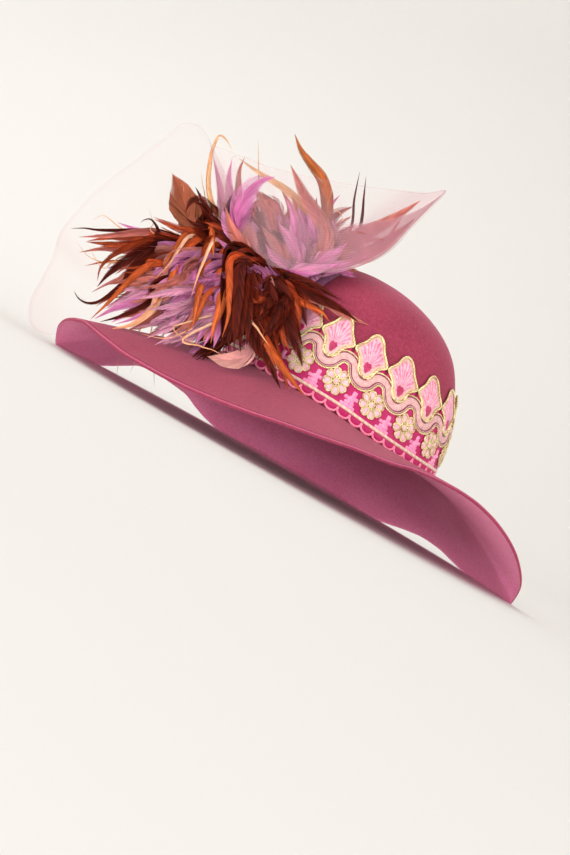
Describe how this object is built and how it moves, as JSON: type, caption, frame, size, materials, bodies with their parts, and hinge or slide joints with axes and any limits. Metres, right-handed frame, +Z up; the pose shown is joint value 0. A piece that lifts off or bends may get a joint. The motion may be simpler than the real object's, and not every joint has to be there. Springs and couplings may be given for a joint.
{
  "type": "feather hat",
  "caption": "Rose wool felt hat with a wide uneven brim, an embroidered trim, a spray of long feathers and two loops of sheer net.",
  "frame": {"origin": "on the floor, under the middle of the hat's bounding box", "axes": "+Z up, the wearer's front towards -Y, the wearer's left towards +X"},
  "size_m": [0.365, 0.4548, 0.2593],
  "materials": {
    "felt": "matte wool felt",
    "trim": "embroidered satin and gold cord",
    "feather_brown": "dyed feather",
    "feather_rust": "dyed feather",
    "feather_lilac": "dyed feather",
    "net": "sheer nylon net"
  },
  "bodies": {
    "root": {"crown": "felt", "brim": "felt", "trim": "trim", "knot": "feather_brown", "plume_front": "feather_brown", "plume_top": "feather_rust", "plume_back": "feather_lilac", "plume_fall": "feather_rust", "net_front": "net", "net_back": "net"}
  },
  "joints": []
}
